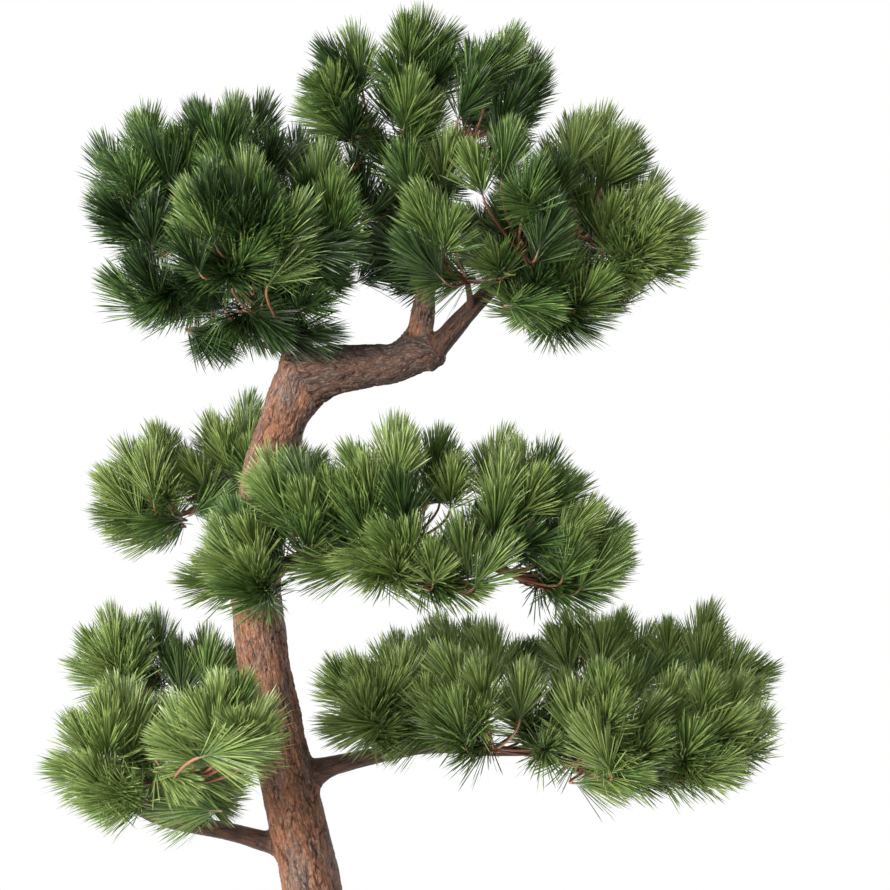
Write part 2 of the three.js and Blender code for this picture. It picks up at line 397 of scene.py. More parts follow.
class PINE_PG_settings(bpy.types.PropertyGroup):
    """All settings of the pine"""

    bark: bpy.props.PointerProperty(type=PINE_PG_bark)
    wires: bpy.props.PointerProperty(type=PINE_PG_wires)
    needles: bpy.props.PointerProperty(type=PINE_PG_needles)
    stage: bpy.props.PointerProperty(type=PINE_PG_stage)


# ------------------------------------------------------------
# Node and mesh helpers


def add_node(tree, kind, inputs=None, **settings):
    """Adds a node. settings are its options; inputs gives a socket a value or another node's output."""
    made = tree.nodes.new(kind)
    for name, value in settings.items():
        setattr(made, name, value)
    for key, value in (inputs or {}).items():
        found = [s for s in made.inputs if s.identifier == key] if isinstance(key, str) else []
        socket = found[0] if found else made.inputs[key]
        if isinstance(value, bpy.types.NodeSocket):
            tree.links.new(value, socket)
        else:
            socket.default_value = value
    return made


def result(made, key=0):
    """An output of a node, by its place or its identifier."""
    if isinstance(key, int):
        return made.outputs[key]
    return next(s for s in made.outputs if s.identifier == key)


def node(tree, kind, inputs=None, key=0, **settings):
    """Adds a node and returns one of its outputs."""
    return result(add_node(tree, kind, inputs, **settings), key)


def maths(tree, operation, first, *others):
    """A sum on numbers, worked from left to right, as an output socket."""
    if not others:
        return node(tree, "ShaderNodeMath", {0: first}, operation=operation)
    for other in others:
        first = node(tree, "ShaderNodeMath", {0: first, 1: other}, operation=operation)
    return first


def plus(tree, *values):
    """The values added up."""
    return maths(tree, "ADD", *values)


def minus(tree, *values):
    """The first value less the others."""
    return maths(tree, "SUBTRACT", *values)


def times(tree, *values):
    """The values multiplied."""
    return maths(tree, "MULTIPLY", *values)


def vector_maths(tree, operation, one, other):
    """A sum on vectors, as an output socket. SCALE takes a number as its second value."""
    key = "Scale" if operation == "SCALE" else 1
    return node(tree, "ShaderNodeVectorMath", {0: one, key: other}, operation=operation)


def mapped(tree, value, low, high, to_low=0.0, to_high=1.0, curve="SMOOTHSTEP"):
    """A value brought from one range to another, as an output socket."""
    return node(
        tree, "ShaderNodeMapRange",
        {"Value": value, "From Min": low, "From Max": high, "To Min": to_low, "To Max": to_high},
        interpolation_type=curve,
    )


def noise(tree, vector, scale, detail, roughness=0.6, key="Fac"):
    """Noise over a vector that is in metres, whose scale is one over the size of its features."""
    sized = vector_maths(tree, "MULTIPLY", vector, scale)
    return node(
        tree, "ShaderNodeTexNoise",
        {"Vector": sized, "Scale": 1.0, "Detail": detail, "Roughness": roughness}, key,
    )


def cells(tree, vector, scale, key, **settings):
    """A cell pattern over a vector that is in metres, scaled as noise is."""
    sized = vector_maths(tree, "MULTIPLY", vector, scale)
    return node(tree, "ShaderNodeTexVoronoi", {"Vector": sized, "Scale": 1.0}, key, **settings)


def blend(tree, factor, one, other):
    """Two colours mixed, as an output socket. Each is a plain colour or a socket."""
    colours = {
        key: value if isinstance(value, bpy.types.NodeSocket) else (*value, 1.0)
        for key, value in (("A_Color", one), ("B_Color", other))
    }
    mix = add_node(tree, "ShaderNodeMix", {"Factor_Float": factor, **colours}, data_type="RGBA")
    return result(mix, "Result_Color")


def geometry_tree(name, inputs):
    """A Geometry Nodes tree with named inputs. Returns it with its input sockets by name."""
    tree = bpy.data.node_groups.new(name, "GeometryNodeTree")
    tree.interface.new_socket("Geometry", in_out="INPUT", socket_type="NodeSocketGeometry")
    tree.interface.new_socket("Geometry", in_out="OUTPUT", socket_type="NodeSocketGeometry")
    for label, value in inputs.items():
        kind = "NodeSocketInt" if isinstance(value, int) else "NodeSocketFloat"
        tree.interface.new_socket(label, in_out="INPUT", socket_type=kind).default_value = value
    group = add_node(tree, "NodeGroupInput")
    return tree, {socket.name: socket for socket in group.outputs if socket.name}


def attribute(tree, name, kind="FLOAT"):
    """The values stored under a name, as an output socket."""
    return node(tree, "GeometryNodeInputNamedAttribute", {"Name": name}, "Attribute", data_type=kind)


def marked(tree, geometry, name, value, kind="FLOAT"):
    """The geometry with a value stored on each of its points."""
    return node(
        tree, "GeometryNodeStoreNamedAttribute", {"Geometry": geometry, "Name": name, "Value": value},
        data_type=kind, domain="POINT",
    )


def random_number(tree, low, high, seed):
    """A seeded random number for each item."""
    return node(
        tree, "FunctionNodeRandomValue", {"Min_001": low, "Max_001": high, "Seed": seed}, "Value_001",
        data_type="FLOAT",
    )


def turned(tree, rotation, axis, angle):
    """A rotation turned further about one of its own axes."""
    turn = node(tree, "FunctionNodeAxisAngleToRotation", {"Axis": axis, "Angle": angle})
    return node(
        tree, "FunctionNodeRotateRotation", {"Rotation": rotation, "Rotate By": turn},
        rotation_space="LOCAL",
    )


def combined(tree, x, y, z):
    """A vector made of three values."""
    return node(tree, "ShaderNodeCombineXYZ", {"X": x, "Y": y, "Z": z})


def with_finishes(tree, geometry, finishes, tint):
    """Realizes what the tree has made and gives it its materials, chosen by their number."""
    shape = node(tree, "GeometryNodeRealizeInstances", {"Geometry": geometry})
    for index, material in enumerate(finishes):
        chosen = node(
            tree, "FunctionNodeCompare", {"A_INT": tint, "B_INT": index},
            data_type="INT", operation="EQUAL",
        )
        shape = node(
            tree, "GeometryNodeSetMaterial",
            {"Geometry": shape, "Selection": chosen, "Material": material},
        )
    return shape


def close_tree(tree, shape):
    """Joins the last shape to the tree's output."""
    add_node(tree, "NodeGroupOutput", {"Geometry": shape})


def new_material(name):
    """A material with an empty node tree, and that tree."""
    material = bpy.data.materials.new(name)
    material.use_nodes = True
    material.node_tree.nodes.clear()
    return material, material.node_tree


def plain_material(name, tint, roughness):
    """A plain plastic or paint in one colour."""
    material, tree = new_material(name)
    shader = node(
        tree, "ShaderNodeBsdfPrincipled",
        {"Base Color": (*tint, 1.0), "Roughness": roughness, "IOR": PLASTIC_IOR},
    )
    add_node(tree, "ShaderNodeOutputMaterial", {"Surface": shader})
    return material


def settle(piece, tree, values):
    """Runs a tree on a piece with its inputs set by identifier, and keeps the result as a plain mesh."""
    modifier = piece.modifiers.new(tree.name, "NODES")
    modifier.node_group = tree
    for item in tree.interface.items_tree:
        if item.in_out == "INPUT" and item.name in values:
            modifier[item.identifier] = values[item.name]
    return keep_evaluated(piece)


def keep_evaluated(piece):
    """Replaces a piece's mesh with what its modifiers make of it, and removes the modifiers."""
    evaluated = piece.evaluated_get(bpy.context.evaluated_depsgraph_get())
    mesh = bpy.data.meshes.new_from_object(evaluated)
    piece.modifiers.clear()
    old = piece.data
    piece.data = mesh
    bpy.data.meshes.remove(old)
    drop_empty_slots(mesh)
    mesh.name = piece.name
    return piece


def read_values(items, key, width=1, kind=np.float32):
    """One property of many mesh items as an array, with a row for each item if it has several values."""
    values = np.empty(len(items) * width, dtype=kind)
    items.foreach_get(key, values)
    return values.reshape(-1, width) if width > 1 else values


def drop_empty_slots(mesh):
    """Removes material slots that hold nothing, and renumbers the faces to match."""
    materials = list(mesh.materials)
    kept = [i for i, material in enumerate(materials) if material]
    if len(kept) == len(materials):
        return
    indices = read_values(mesh.polygons, "material_index", kind=np.int32)
    numbers = np.zeros(len(materials), dtype=np.int32)
    numbers[kept] = np.arange(len(kept))
    mesh.materials.clear()
    for index in kept:
        mesh.materials.append(materials[index])
    mesh.polygons.foreach_set("material_index", numbers[indices])


def new_piece(name, vertices, edges=(), faces=()):
    """A mesh object at the origin, in the scene."""
    mesh = bpy.data.meshes.new(name)
    mesh.from_pydata([tuple(v) for v in vertices], edges, faces)
    piece = bpy.data.objects.new(name, mesh)
    bpy.context.scene.collection.objects.link(piece)
    return piece


def store(mesh, name, values, kind="FLOAT"):
    """Stores one value, or one vector, for each vertex of a mesh."""
    key = {"FLOAT": "value", "INT": "value", "FLOAT_VECTOR": "vector"}[kind]
    data = mesh.attributes.new(name, kind, "POINT").data
    data.foreach_set(key, np.asarray(values, dtype=np.int32 if kind == "INT" else np.float32).ravel())


# ------------------------------------------------------------
# Reading the frame


def triangles(name):
    """The triangles of a CAD node as an array of corner places."""
    mesh = frame["nodes"][name].data
    mesh.calc_loop_triangles()
    corners = read_values(mesh.loop_triangles, "vertices", 3, np.int32)
    return read_values(mesh.vertices, "co", 3)[corners].astype(float)


def surface_tree(corners):
    """A search tree over loose triangles."""
    flat = corners.reshape(-1, 3)
    faces = np.arange(len(flat)).reshape(-1, 3)
    return BVHTree.FromPolygons(flat.tolist(), faces.tolist())


def unit(vectors):
    """Vectors brought to length one."""
    vectors = np.asarray(vectors, dtype=float)
    return vectors / np.maximum(np.linalg.norm(vectors, axis=-1, keepdims=True), 1e-12)


def section(corners, point, direction):
    """Middle and mean radius of the cut that a plane makes through loose triangles."""
    side = (corners - point) @ direction
    cut = (side.min(axis=1) < 0) & (side.max(axis=1) > 0)
    corners, side = corners[cut], side[cut]
    ends = []
    for a, b in ((0, 1), (1, 2), (2, 0)):
        share = side[:, a] / (side[:, a] - side[:, b] + 1e-15)
        crosses = side[:, a] * side[:, b] < 0
        place = corners[:, a] + share[:, None] * (corners[:, b] - corners[:, a])
        ends.append(np.where(crosses[:, None], place, np.nan))
    ends = np.stack(ends, axis=1)
    middles = np.nanmean(ends, axis=1)
    spans = np.linalg.norm(np.nanmax(ends, axis=1) - np.nanmin(ends, axis=1), axis=1)
    middle = (middles * spans[:, None]).sum(axis=0) / spans.sum()
    radius = (np.linalg.norm(middles - middle, axis=1) * spans).sum() / spans.sum()
    return middle, radius


def lengths_along(points):
    """How far along a line each of its points lies."""
    return np.concatenate([[0], np.cumsum(np.linalg.norm(np.diff(points, axis=0), axis=1))])


def spread_evenly(points, step):
    """A smooth curve through points, in steps of about one length."""
    points = np.asarray(points, dtype=float)
    padded = np.vstack([2 * points[0] - points[1], points, 2 * points[-1] - points[-2]])
    shares = np.linspace(0, 1, CURVE_STEPS, endpoint=False)[:, None]
    dense = []
    for p0, p1, p2, p3 in zip(padded, padded[1:], padded[2:], padded[3:]):
        dense.append(
            0.5 * (2 * p1 + (p2 - p0) * shares + (2 * p0 - 5 * p1 + 4 * p2 - p3) * shares**2
                   + (3 * p1 - p0 - 3 * p2 + p3) * shares**3)
        )
    dense = np.vstack(dense + [points[-1:]])
    arcs = lengths_along(dense)
    wanted = np.linspace(0, arcs[-1], max(2, round(arcs[-1] / step)) + 1)
    return np.stack([np.interp(wanted, arcs, dense[:, k]) for k in range(3)], axis=1)


def frames_along(points):
    """Tangents and two turning-free side directions at each point of a line."""
    tangents = unit(np.gradient(points, axis=0))
    normals = [unit(np.cross(tangents[0], (0.0, 1.0, 0.0)))]
    for tangent in tangents[1:]:
        normals.append(unit(normals[-1] - tangent * (normals[-1] @ tangent)))
    normals = np.array(normals)
    return tangents, normals, np.cross(tangents, normals)


def read_limb(name, parent):
    """The middle line of a limb, found by cutting its CAD node, with a frame at each step."""
    corners = triangles(name)
    places = corners.reshape(-1, 3)
    near = np.zeros(3)
    if parent is not None:
        gaps = np.linalg.norm(places[:, None] - parent.points[None], axis=2).min(axis=1)
        near = places[gaps.argmin()]
    far = places[np.linalg.norm(places - near, axis=1).argmax()]
    axis = unit(far - near)
    reach = (far - near) @ axis
    cuts = np.linspace(*CUT_SPAN, TRUNK_CUTS if parent is None else LIMB_CUTS)
    middles = [section(corners, near + axis * reach * s, axis)[0] for s in cuts]
    for _ in range(CUT_ROUNDS):
        directions = unit(np.gradient(np.array(middles), axis=0))
        middles = [section(corners, m, d)[0] for m, d in zip(middles, directions)]
    points = spread_evenly(middles, LINE_STEP)
    tangents, normals, binormals = frames_along(points)
    radius = np.array([section(corners, p, t)[1] for p, t in zip(points, tangents)])
    return Limb(
        name, points, tangents, normals, binormals, lengths_along(points), surface_tree(corners), radius
    )


def read_limbs():
    """Every limb by name, each after the limb that carries it."""
    limbs = {}
    for name, look in LIMBS.items():
        limbs[name] = read_limb(name, limbs.get(look.parent))
    return limbs


def read_masses():
    """Every foliage mass of the frame."""
    masses = []
    for row in frame["record"]["subparts"]:
        name = row["node"]
        if row["material_slot"] != "needles":
            continue
        corners = triangles(name)
        shelf = next(s for s in SHELVES if name.startswith(s))
        low, high = corners.min(axis=(0, 1)), corners.max(axis=(0, 1))
        masses.append(Mass(name, shelf, corners, surface_tree(corners), (low + high) / 2))
    return masses


# ------------------------------------------------------------
# Bark: trunk and boughs as one mesh


def ring(normal, binormal):
    """Directions all round a line."""
    angles = np.linspace(0, 2 * math.pi, RING_SIDES, endpoint=False)[:, None]
    return np.cos(angles) * normal + np.sin(angles) * binormal


def limb_tube(limb, parent):
    """A smooth closed tube that follows a limb's own cross-sections and starts inside its parent."""
    points, tangents = limb.points, limb.tangents
    rings, smooth = [], []
    for i, point in enumerate(points):
        out = ring(limb.normals[i], limb.binormals[i])
        radii = []
        for direction in out:
            hit = limb.tree.ray_cast(Vector(point), Vector(direction), RAY_REACH)
            radii.append(hit[3] if hit[0] is not None else limb.radius[i])
        radii = np.minimum(np.array(radii), limb.radius[i] * WIDEST_SECTION)
        blurred = (
            np.roll(radii, 2) + np.roll(radii, 1) + radii + np.roll(radii, -1) + np.roll(radii, -2)
        ) / 5
        rings.append(out)
        smooth.append(blurred * SKIN)
    smooth = np.array(smooth)
    for _ in range(TUBE_ROUNDS):
        smooth[1:-1] = (smooth[:-2] + smooth[1:-1] * 2 + smooth[2:]) / 4
    back = TRUNK_BACK if parent is None else max(parent.radius) * ROOT_OVERLAP
    vertices = [points[0] - tangents[0] * back + rings[0] * smooth[0][:, None]]
    for point, out, radii in zip(points, rings, smooth):
        vertices.append(point + out * radii[:, None])
    tip = limb.radius[-1]
    for share in TIP_ROUNDING:
        narrowed = smooth[-1][:, None] * math.sqrt(1 - share**2)
        vertices.append(points[-1] + tangents[-1] * tip * share + rings[-1] * narrowed)
    rows = len(vertices)
    vertices = np.vstack(vertices + [points[:1] - tangents[:1] * back, points[-1:] + tangents[-1:] * tip])
    return vertices, tube_faces(rows)


def fork_bridge(limb, parent):
    """A tube that leaves the parent below a fork and flows into the limb, as the grain does."""
    root = limb.radius[0]
    fork = parent.arcs[np.linalg.norm(parent.points - limb.points[0], axis=1).argmin()]
    low = int(np.abs(parent.arcs - (fork - BRIDGE_DROP * root)).argmin())
    high = int(np.abs(limb.arcs - BRIDGE_REACH * root).argmin())
    aside = limb.points[high] - parent.points[low]
    aside -= parent.tangents[low] * (aside @ parent.tangents[low])
    room = max(parent.radius[low] - root * BRIDGE_GIRTH, 0.0)
    start, end = parent.points[low] + unit(aside) * room, limb.points[high]
    pull = np.linalg.norm(end - start) * BRIDGE_PULL
    line = hermite(start, parent.tangents[low] * pull, end, limb.tangents[high] * pull, BRIDGE_STEPS)
    return swept_tube(line, np.linspace(root * BRIDGE_GIRTH, limb.radius[high] * BRIDGE_END, len(line)))


def swept_tube(line, radii):
    """A closed round tube along a line."""
    _, normals, binormals = frames_along(line)
    rings = [p + ring(n, b) * r for p, n, b, r in zip(line, normals, binormals, radii)]
    return np.vstack(rings + [line[:1], line[-1:]]), tube_faces(len(line))


def tube_faces(rows):
    """The faces of a closed tube of so many rings, with its two end points after them."""
    faces = []
    first, last = rows * RING_SIDES, rows * RING_SIDES + 1
    for j in range(RING_SIDES):
        k = (j + 1) % RING_SIDES
        for row in range(rows - 1):
            a, b = row * RING_SIDES, (row + 1) * RING_SIDES
            faces.append((a + j, a + k, b + k, b + j))
        faces.append((first, k, j))
        faces.append((last, last - 1 - RING_SIDES + j, last - 1 - RING_SIDES + k))
    return faces


def relax(values, pairs, weight, rounds):
    """Moves each vertex's value towards the mean of its neighbours, as far as its weight says."""
    count = len(values)
    valence = np.bincount(pairs.ravel(), minlength=count)[:, None]
    for _ in range(rounds):
        total = np.zeros_like(values)
        for k in range(values.shape[1]):
            total[:, k] += np.bincount(pairs[:, 0], values[pairs[:, 1], k], count)
            total[:, k] += np.bincount(pairs[:, 1], values[pairs[:, 0], k], count)
        values = values + weight[:, None] * (total / valence - values)
    return values


def move_vertices(mesh, places):
    """Puts the vertices of a mesh at new places."""
    mesh.vertices.foreach_set("co", places.astype(np.float32).ravel())
    mesh.update()


def fill_hollows(mesh, places, pairs, weight):
    """Fills the sharp hollows at the forks, and leaves everything that bulges as it is."""
    for _ in range(FILLET_PASSES):
        move_vertices(mesh, places)
        out = read_values(mesh.vertex_normals, "vector", 3).astype(float)
        for _ in range(FILLET_ROUNDS):
            rise = ((relax(places, pairs, weight, 1) - places) * out).sum(axis=1)
            places = places + out * np.maximum(rise, 0.0)[:, None]
    places = relax(places, pairs, weight, FILLET_ROUNDS)
    move_vertices(mesh, places)
    return places


def nearest_limb(places, limbs):
    """For each place: which limb it lies on, and its place in that limb's straightened-out grain."""
    best = np.full(len(places), np.inf)
    which = np.zeros(len(places), dtype=int)
    grain = np.zeros((len(places), 3))
    for index, limb in enumerate(limbs.values()):
        for start in range(0, len(places), BATCH):
            part = slice(start, start + BATCH)
            gaps = np.linalg.norm(places[part, None] - limb.points[None], axis=2) - limb.radius[None]
            step = gaps.argmin(axis=1)
            gap = gaps[np.arange(len(step)), step]
            nearer = gap < best[part]
            offset = places[part] - limb.points[step]
            straight = np.stack(
                [(offset * ways[step]).sum(axis=1) for ways in (limb.normals, limb.binormals, limb.tangents)],
                axis=1,
            )
            straight[:, 0] += index * GRAIN_APART
            straight[:, 2] += limb.arcs[step]
            best[part] = np.where(nearer, gap, best[part])
            which[part] = np.where(nearer, index, which[part])
            grain[part] = np.where(nearer[:, None], straight, grain[part])
    return which, grain


def plate_pattern(tree, grain, bark):
    """Scaly bark in the limb's own grain, as three sockets: how open a crack is, how high each thin
    scale stands, and the fine flaking."""
    across, along = 1 / bark.plate_width, 1 / bark.plate_length
    wander = noise(tree, grain, (across * 0.8, across * 0.8, along * 1.2), 4.0, 0.65, "Color")
    centred = vector_maths(tree, "SUBTRACT", wander, (0.5, 0.5, 0.5))
    warped = vector_maths(
        tree, "ADD", grain, vector_maths(tree, "SCALE", centred, bark.plate_width * PLATE_WANDER)
    )
    scales = cells(tree, warped, (across * 2.0, across * 2.0, along * 1.5), "Color")
    step = node(tree, "ShaderNodeSeparateXYZ", {0: scales}, "X")
    edge = cells(tree, warped, (across, across, along), "Distance", feature="DISTANCE_TO_EDGE")
    broken = mapped(tree, noise(tree, grain, CRACK_BREAKS, 3.0), 0.44, 0.62)
    crack = times(tree, mapped(tree, edge, 0.0, CRACK_WIDTH, 1.0, 0.0), broken)
    flakes = noise(tree, warped, (across * 2.8, across * 2.8, along * 2.0), 4.0, 0.68)
    return crack, step, flakes


def bark_relief_tree(bark, material):
    """Geometry Nodes: pushes the wood out along its normals into scales, flakes and cracks."""
    tree, given = geometry_tree(
        "Bark relief",
        {"Crack depth": bark.crack_depth, "Flake depth": bark.flake_depth, "Swell": bark.swell},
    )
    grain, smooth = attribute(tree, "grain", "FLOAT_VECTOR"), attribute(tree, "bough")
    crack, step, flakes = plate_pattern(tree, grain, bark)
    terrace = times(tree, plus(tree, step, flakes), given["Flake depth"])
    cut = times(tree, crack, given["Crack depth"])
    rough = times(tree, minus(tree, terrace, cut), minus(tree, 1.0, times(tree, smooth, BOUGH_CALM)))
    slow = minus(tree, noise(tree, grain, SWELLS, 1.0), 0.5)
    swell = times(tree, slow, given["Swell"], minus(tree, 2.0, times(tree, smooth, 1.5)))
    normal = node(tree, "GeometryNodeInputNormal")
    offset = vector_maths(tree, "SCALE", normal, plus(tree, rough, swell))
    shape = node(
        tree, "GeometryNodeSetPosition", {"Geometry": given["Geometry"], "Offset": offset}
    )
    shape = node(tree, "GeometryNodeRealizeInstances", {"Geometry": shape})
    shape = node(tree, "GeometryNodeSetShadeSmooth", {"Geometry": shape})
    close_tree(tree, node(tree, "GeometryNodeSetMaterial", {"Geometry": shape, "Material": material}))
    return tree


def moulded_bark(bark):
    """Moulded polyurethane bark, painted matt: grey-brown scales with rusty patches, rubbed pale
    edges and thin dark cracks. The boughs carry a smoother brown paint with faint streaks."""
    material, tree = new_material("moulded_bark_matt_paint")
    grain = node(tree, "ShaderNodeAttribute", key="Vector", attribute_name="grain")
    smooth = node(tree, "ShaderNodeAttribute", key="Fac", attribute_name="bough")
    weather = node(tree, "ShaderNodeAttribute", key="Fac", attribute_name="weather")
    crack, step, flakes = plate_pattern(tree, grain, bark)
    patches = noise(tree, grain, RUST_PATCHES, 5.0, 0.65)
    grit = noise(tree, grain, GRIT, 3.0)
    fresh = minus(tree, 1.0, times(tree, weather, 0.7))

    # The layers of paint from the bottom up: where each lies and how thick, and its colour.
    layers = (
        (mapped(tree, patches, 0.40, 0.56), bark.rust),
        (mapped(tree, step, 0.55, 1.0, 0.0, 0.50), bark.rust),
        (mapped(tree, step, 0.45, 0.10, 0.0, 0.45), bark.dark),
        # Painted shade and greying: where the weathering and shade attribute is high, the bark turns darker
        # and duller and fewer rubbed pale edges show; partly the upper limbs' own duller bark, partly painted
        # shade on the limb tops and the right side.
        (weather, bark.shade),
        (times(tree, mapped(tree, flakes, 0.52, 0.64, 0.0, 0.45), fresh), bark.pale),
        (mapped(tree, flakes, 0.47, 0.36, 0.0, 0.65), bark.dark),
        (mapped(tree, grit, 0.50, 0.66, 0.0, 0.45), bark.dark),
        (mapped(tree, grit, 0.48, 0.34, 0.0, 0.22), bark.pale),
        (times(tree, crack, 0.8), bark.dark),
    )
    face = bark.grey
    for amount, over in layers:
        face = blend(tree, amount, face, over)
    streaks = noise(tree, grain, PAINT_STREAKS, 4.0)
    paint = blend(tree, mapped(tree, streaks, 0.38, 0.66), bark.bough_dark, bark.bough)

    heights = [times(tree, value, share) for value, share in ((flakes, 0.8), (grit, 0.3), (step, 0.35))]
    ridge = minus(tree, plus(tree, *heights), times(tree, crack, 0.4))
    bump = node(tree, "ShaderNodeBump", {"Height": ridge, "Strength": 0.75, "Distance": 0.007})
    roughness = mapped(tree, smooth, 0.0, 1.0, 0.8, 0.52, "LINEAR")
    shader = node(
        tree, "ShaderNodeBsdfPrincipled",
        {"Base Color": blend(tree, smooth, face, paint), "Roughness": roughness, "Normal": bump,
         "IOR": 1.46},
    )
    add_node(tree, "ShaderNodeOutputMaterial", {"Surface": shader})
    return material


def cut_flat(piece):
    """Cuts the foot off flat at ground level and closes it."""
    shape = bmesh.new()
    shape.from_mesh(piece.data)
    everything = shape.verts[:] + shape.edges[:] + shape.faces[:]
    cut = bmesh.ops.bisect_plane(
        shape, geom=everything, plane_co=(0, 0, 0), plane_no=(0, 0, -1), clear_outer=True
    )
    rim = [e for e in cut["geom_cut"] if isinstance(e, bmesh.types.BMEdge)]
    bmesh.ops.holes_fill(shape, edges=rim)
    shape.to_mesh(piece.data)
    shape.free()


def joined_tubes(limbs):
    """The vertices and faces of all the limbs' tubes and the bridges at their forks."""
    vertices, faces = [], []
    for limb in limbs.values():
        parent = limbs.get(LIMBS[limb.name].parent)
        for made, sides in [limb_tube(limb, parent)] + ([fork_bridge(limb, parent)] if parent else []):
            faces += [tuple(len(vertices) + i for i in side) for side in sides]
            vertices += made.tolist()
    return vertices, faces


def build_bark(settings):
    """The trunk and boughs: tubes along the limbs, joined, rounded at the forks, then given relief."""
    bark = settings.bark
    limbs = read_limbs()
    vertices, faces = joined_tubes(limbs)
    wood = new_piece("bark_wood", vertices, faces=faces)
    remesh = wood.modifiers.new("Voxels", "REMESH")
    remesh.mode = "VOXEL"
    remesh.voxel_size = bark.voxel
    keep_evaluated(wood)

    pairs = read_values(wood.data.edges, "vertices", 2, np.int32)
    places = read_values(wood.data.vertices, "co", 3).astype(float)
    everywhere = np.full(len(places), 0.5)
    places = relax(places, pairs, everywhere, VOXEL_ROUNDS)
    round_off = np.zeros(len(places))
    for limb in limbs.values():
        if LIMBS[limb.name].parent:
            reach = bark.fillet * limb.radius[0] / FILLET_FOR_RADIUS
            gap = np.linalg.norm(places - limb.points[0], axis=1)
            round_off = np.maximum(round_off, np.clip(2.0 - gap / reach, 0.0, 1.0))
    places = fill_hollows(wood.data, places, pairs, 0.5 * round_off)

    which, grain = nearest_limb(places, limbs)
    smooth = np.array([LIMBS[name].smooth for name in limbs])[which, None]
    # Each limb's darker, greyer bark, spread smoothly across the forks: partly its own duller bark, partly
    # painted shade of the foliage above.
    weather = np.array([LIMBS[name].weathered for name in limbs])[which, None]
    weather = relax(weather, pairs, everywhere, SHADE_AND_WEATHER_ROUNDS)[:, 0]
    facing = read_values(wood.data.vertex_normals, "vector", 3)
    # Painted shade: darker on the upward faces of the shaded limbs and on faces turned to the right, away
    # from the key light.
    painted_shade = np.clip(facing[:, 2], 0, 1) * weather * PAINTED_SHADE_TOP + np.clip(facing[:, 0], 0, 1) * PAINTED_SHADE_SIDE
    store(wood.data, "grain", grain, "FLOAT_VECTOR")
    store(wood.data, "bough", relax(smooth, pairs, everywhere, SMOOTHNESS_ROUNDS))
    store(wood.data, "weather", np.clip(weather * 0.8 + painted_shade, 0, 1))
    values = {"Crack depth": bark.crack_depth, "Flake depth": bark.flake_depth, "Swell": bark.swell}
    settle(wood, bark_relief_tree(bark, moulded_bark(bark)), values)
    cut_flat(wood)
    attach(wood, BODY)
    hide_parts(*limbs)


# ------------------------------------------------------------
# Growth: side boughs, wires and tufts


def hermite(start, start_way, end, end_way, count):
    """A smooth line from one place and direction to another."""
    t = np.linspace(0, 1, count)[:, None]
    return (
        (2 * t**3 - 3 * t**2 + 1) * start + (t**3 - 2 * t**2 + t) * start_way
        + (3 * t**2 - 2 * t**3) * end + (t**3 - t**2) * end_way
    )


def up(amount):
    """A vector straight up."""
    return np.array([0.0, 0.0, amount])


def inside(tree, point, margin=0.0):
    """Whether a point lies in a closed shape, or nearer to its surface than the margin."""
    place, normal, _, gap = tree.find_nearest(Vector(point))
    return gap < margin or (Vector(point) - place).dot(normal) < 0


def surface_samples(mass, count, random):
    """Seeded points on the surface of a mass, with the surface's directions."""
    a, b, c = (mass.triangles[:, k] for k in range(3))
    cross = np.cross(b - a, c - a)
    areas = np.linalg.norm(cross, axis=1) / 2
    chosen = random.choice(len(areas), count, p=areas / areas.sum())
    u, v = random.random((2, count))
    flip = u + v > 1
    u, v = np.where(flip, 1 - u, u)[:, None], np.where(flip, 1 - v, v)[:, None]
    return a[chosen] + u * (b - a)[chosen] + v * (c - a)[chosen], unit(cross)[chosen]


def core_samples(mass, random):
    """Seeded points well inside a mass."""
    low, high = mass.triangles.min(axis=(0, 1)), mass.triangles.max(axis=(0, 1))
    for point in random.uniform(low, high, (CORE_SAMPLES, 3)):
        if inside(mass.tree, point) and mass.tree.find_nearest(Vector(point))[3] > CORE_DEPTH:
            yield point


def swallowed(point, index, masses):
    """Whether a point on one mass lies in another."""
    return any(
        k != index and np.linalg.norm(other.centre - point) < FAR_MASS
        and inside(other.tree, point, TOUCHING)
        for k, other in enumerate(masses)
    )


def tuft_tips(masses, limbs, spacing, random):
    """Seeded places over the open outside of all the foliage and some in its core, which have no
    direction. No two are nearer than the spacing."""
    samples = []
    for index, mass in enumerate(masses):
        for point, normal in zip(*surface_samples(mass, SAMPLES, random)):
            samples.append((index, point, normal))
    random.shuffle(samples)
    for index, mass in enumerate(masses):
        samples += [(index, point, np.zeros(3)) for point in core_samples(mass, random)]
    tips, placed = [], np.empty((0, 3))
    for index, point, normal in samples:
        core = not normal.any()
        if core:
            room = spacing * CORE_ROOM
        else:
            room = spacing * (UNDERSIDE_ROOM if normal[2] < UNDERSIDE else 1.0)
            room *= OPEN_MASSES.get(masses[index].name, 1.0)
        if len(placed) and ((placed - point) ** 2).sum(axis=1).min() < room**2:
            continue
        if np.linalg.norm(limbs["trunk"].points - point, axis=1).min() < TRUNK_CLEARANCE:
            continue
        if core or not swallowed(point, index, masses):
            tips.append((index, point, normal))
            placed = np.vstack([placed, point])
    return tips


def shelf_domes(masses):
    """The middle, set low, and the half sizes of the dome that each shelf of foliage makes."""
    domes = {}
    for shelf in SHELVES:
        corners = np.vstack([m.triangles.reshape(-1, 3) for m in masses if m.shelf == shelf])
        low, high = corners.min(axis=0), corners.max(axis=0)
        half = (high - low) / 2
        domes[shelf] = ((low + high) / 2 - up(DOME_DROP * half[2]), half)
    return domes


def covered(point, masses):
    """Whether a point lies in the foliage."""
    return any(
        np.linalg.norm(m.centre - point) < NEAR_MASS and inside(m.tree, point, BASE_MARGIN)
        for m in masses
    )


